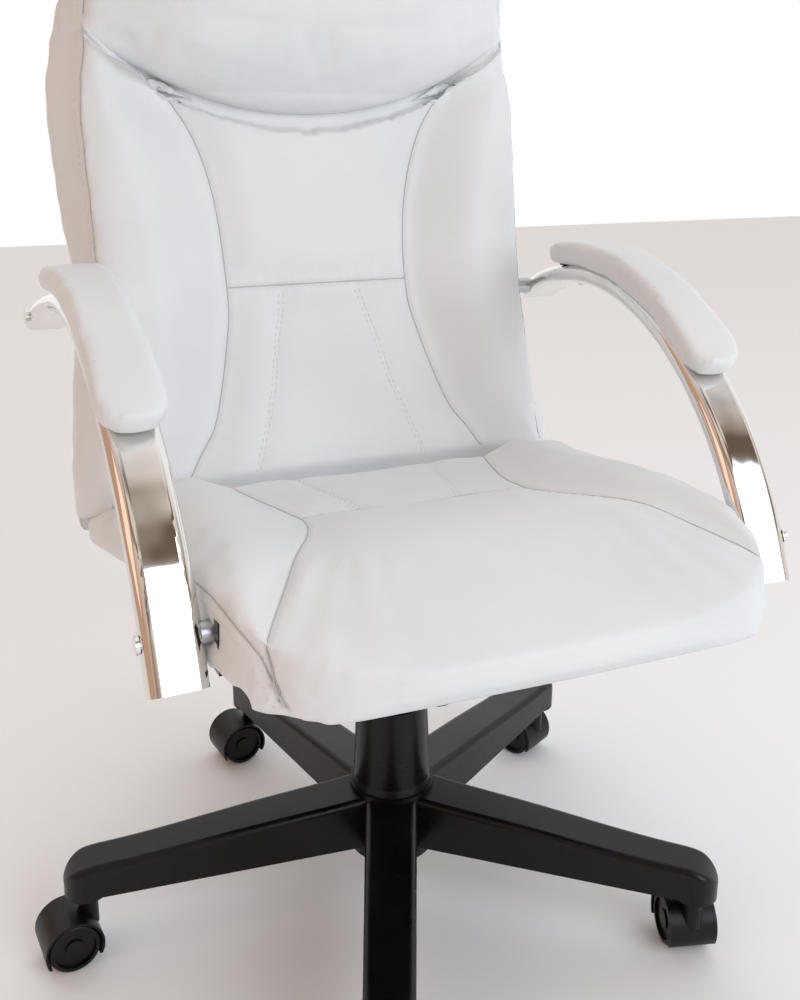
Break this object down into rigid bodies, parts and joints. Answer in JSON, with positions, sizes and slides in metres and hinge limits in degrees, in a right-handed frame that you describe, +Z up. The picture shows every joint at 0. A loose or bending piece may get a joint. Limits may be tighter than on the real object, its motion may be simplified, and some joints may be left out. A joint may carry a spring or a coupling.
{
  "type": "swivel office chair",
  "caption": "High-backed padded swivel office chair with headrest, bent flat-oval chrome arms with padded tops, gas lift, tilt and a five-star base on twin-wheel castors",
  "frame": {"origin": "on the floor, on the axis of the column and the seat swivel", "axes": "+Z up the column, the sitter faces -Y, +X to the sitter's left"},
  "size_m": [0.6825, 0.6829, 1.1105],
  "materials": {
    "white_leather": "soft, fine-grained white imitation leather over foam",
    "chrome": "polished chrome plate on steel tube",
    "base_nylon": "glass-filled black nylon with a soft sheen",
    "castor_nylon": "moulded black nylon",
    "black_steel": "black powder coat",
    "zinc_steel": "zinc-plated steel",
    "guide_plastic": "natural acetal",
    "pad_plastic": "black moulded pad base",
    "plug_plastic": "tan moulded end plug",
    "rubber": "black rubber",
    "plywood": "bare bent plywood"
  },
  "bodies": {
    "base": {"star_base": "base_nylon", "castor_sockets": "zinc_steel", "lift_outer_tube": "black_steel", "lift_guide": "guide_plastic", "lift_rod": "zinc_steel", "lift_clip": "zinc_steel", "cover_lower": "base_nylon"},
    "cover_slide": {"cover_middle": "base_nylon"},
    "lift": {"cover_upper": "base_nylon"},
    "swivel": {"pressure_tube": "zinc_steel", "tube_gland": "rubber", "release_pin": "zinc_steel", "mechanism_housing": "black_steel", "tilt_axle": "zinc_steel", "tilt_rubber": "rubber"},
    "knob": {"tension_bolt": "zinc_steel", "tension_knob": "castor_nylon"},
    "lever": {"height_lever": "black_steel", "lever_grip": "castor_nylon"},
    "seat": {"seat_plate": "black_steel", "plate_bolts": "zinc_steel", "plywood_shell": "plywood", "seat_cushion": "white_leather", "back_cushion": "white_leather", "headrest_cushion": "white_leather", "rear_cover": "white_leather", "arm_tube_left": "chrome", "arm_tube_right": "chrome", "arm_pad_base_left": "pad_plastic", "arm_pad_base_right": "pad_plastic", "arm_pad_left": "white_leather", "arm_pad_right": "white_leather", "arm_end_plugs": "plug_plastic", "arm_bolts": "chrome", "arm_anchors": "zinc_steel", "arm_spacers": "chrome", "pad_screws": "chrome"},
    "castor_1": {"castor_1_hood": "castor_nylon", "castor_1_pins": "zinc_steel"},
    "castor_1_roller_a": {"castor_1_wheel_a": "castor_nylon"},
    "castor_1_roller_b": {"castor_1_wheel_b": "castor_nylon"},
    "castor_2": {"castor_2_hood": "castor_nylon", "castor_2_pins": "zinc_steel"},
    "castor_2_roller_a": {"castor_2_wheel_a": "castor_nylon"},
    "castor_2_roller_b": {"castor_2_wheel_b": "castor_nylon"},
    "castor_3": {"castor_3_hood": "castor_nylon", "castor_3_pins": "zinc_steel"},
    "castor_3_roller_a": {"castor_3_wheel_a": "castor_nylon"},
    "castor_3_roller_b": {"castor_3_wheel_b": "castor_nylon"},
    "castor_4": {"castor_4_hood": "castor_nylon", "castor_4_pins": "zinc_steel"},
    "castor_4_roller_a": {"castor_4_wheel_a": "castor_nylon"},
    "castor_4_roller_b": {"castor_4_wheel_b": "castor_nylon"},
    "castor_5": {"castor_5_hood": "castor_nylon", "castor_5_pins": "zinc_steel"},
    "castor_5_roller_a": {"castor_5_wheel_a": "castor_nylon"},
    "castor_5_roller_b": {"castor_5_wheel_b": "castor_nylon"}
  },
  "joints": [
    {"name": "seat_height", "type": "slide", "parent": "base", "child": "lift", "axis": [0, 0, 1], "range_m": [0, 0.1]},
    {"name": "cover_follow", "type": "slide", "parent": "base", "child": "cover_slide", "axis": [0, 0, 1], "range_m": [0, 0.05]},
    {"name": "seat_swivel", "type": "hinge", "parent": "lift", "child": "swivel", "pos_m": [0, 0, 0.33], "axis": [0, 0, 1], "continuous": true},
    {"name": "seat_tilt", "type": "hinge", "parent": "swivel", "child": "seat", "pos_m": [0, -0.06, 0.358], "axis": [-1, 0, 0], "range_deg": [0, 14], "stiffness_Nm_per_rad": 260, "springref_deg": -12.61},
    {"name": "tension_turn", "type": "hinge", "parent": "swivel", "child": "knob", "pos_m": [0, -0.104, 0.3], "axis": [0, 0, 1], "continuous": true},
    {"name": "lever_lift", "type": "hinge", "parent": "swivel", "child": "lever", "pos_m": [-0.058, -0.022, 0.345], "axis": [0, 1, 0], "range_deg": [0, 2.4], "stiffness_Nm_per_rad": 4, "springref_deg": -5.16},
    {"name": "castor_1_swivel", "type": "hinge", "parent": "base", "child": "castor_1", "pos_m": [-0.11661, -0.29154, 0.07], "axis": [0, 0, 1], "continuous": true},
    {"name": "castor_1_roll_a", "type": "hinge", "parent": "castor_1", "child": "castor_1_roller_a", "pos_m": [-0.13393, -0.30155, 0.025], "axis": [0.5, -0.866, 0], "continuous": true},
    {"name": "castor_1_roll_b", "type": "hinge", "parent": "castor_1", "child": "castor_1_roller_b", "pos_m": [-0.13393, -0.30155, 0.025], "axis": [0.5, -0.866, 0], "continuous": true},
    {"name": "castor_2_swivel", "type": "hinge", "parent": "base", "child": "castor_2", "pos_m": [0.24124, -0.20099, 0.07], "axis": [0, 0, 1], "continuous": true},
    {"name": "castor_2_roll_a", "type": "hinge", "parent": "castor_2", "child": "castor_2_roller_a", "pos_m": [0.24642, -0.18168, 0.025], "axis": [-0.9659, 0.2588, 0], "continuous": true},
    {"name": "castor_2_roll_b", "type": "hinge", "parent": "castor_2", "child": "castor_2_roller_b", "pos_m": [0.24642, -0.18168, 0.025], "axis": [-0.9659, 0.2588, 0], "continuous": true},
    {"name": "castor_3_swivel", "type": "hinge", "parent": "base", "child": "castor_3", "pos_m": [0.26571, 0.16732, 0.07], "axis": [0, 0, 1], "continuous": true},
    {"name": "castor_3_roll_a", "type": "hinge", "parent": "castor_3", "child": "castor_3_roller_a", "pos_m": [0.25632, 0.18498, 0.025], "axis": [-0.8829, -0.4695, 0], "continuous": true},
    {"name": "castor_3_roll_b", "type": "hinge", "parent": "castor_3", "child": "castor_3_roller_b", "pos_m": [0.25632, 0.18498, 0.025], "axis": [-0.8829, -0.4695, 0], "continuous": true},
    {"name": "castor_4_swivel", "type": "hinge", "parent": "base", "child": "castor_4", "pos_m": [-0.07703, 0.30441, 0.07], "axis": [0, 0, 1], "continuous": true},
    {"name": "castor_4_roll_a", "type": "hinge", "parent": "castor_4", "child": "castor_4_roller_a", "pos_m": [-0.09672, 0.30093, 0.025], "axis": [0.1736, -0.9848, 0], "continuous": true},
    {"name": "castor_4_roll_b", "type": "hinge", "parent": "castor_4", "child": "castor_4_roller_b", "pos_m": [-0.09672, 0.30093, 0.025], "axis": [0.1736, -0.9848, 0], "continuous": true},
    {"name": "castor_5_swivel", "type": "hinge", "parent": "base", "child": "castor_5", "pos_m": [-0.31331, 0.02081, 0.07], "axis": [0, 0, 1], "continuous": true},
    {"name": "castor_5_roll_a", "type": "hinge", "parent": "castor_5", "child": "castor_5_roller_a", "pos_m": [-0.33311, 0.01803, 0.025], "axis": [0.1392, -0.9903, 0], "continuous": true},
    {"name": "castor_5_roll_b", "type": "hinge", "parent": "castor_5", "child": "castor_5_roller_b", "pos_m": [-0.33311, 0.01803, 0.025], "axis": [0.1392, -0.9903, 0], "continuous": true}
  ],
  "couplings": [
    {"joint": "cover_follow", "follows": "seat_height", "ratio": 0.5}
  ]
}
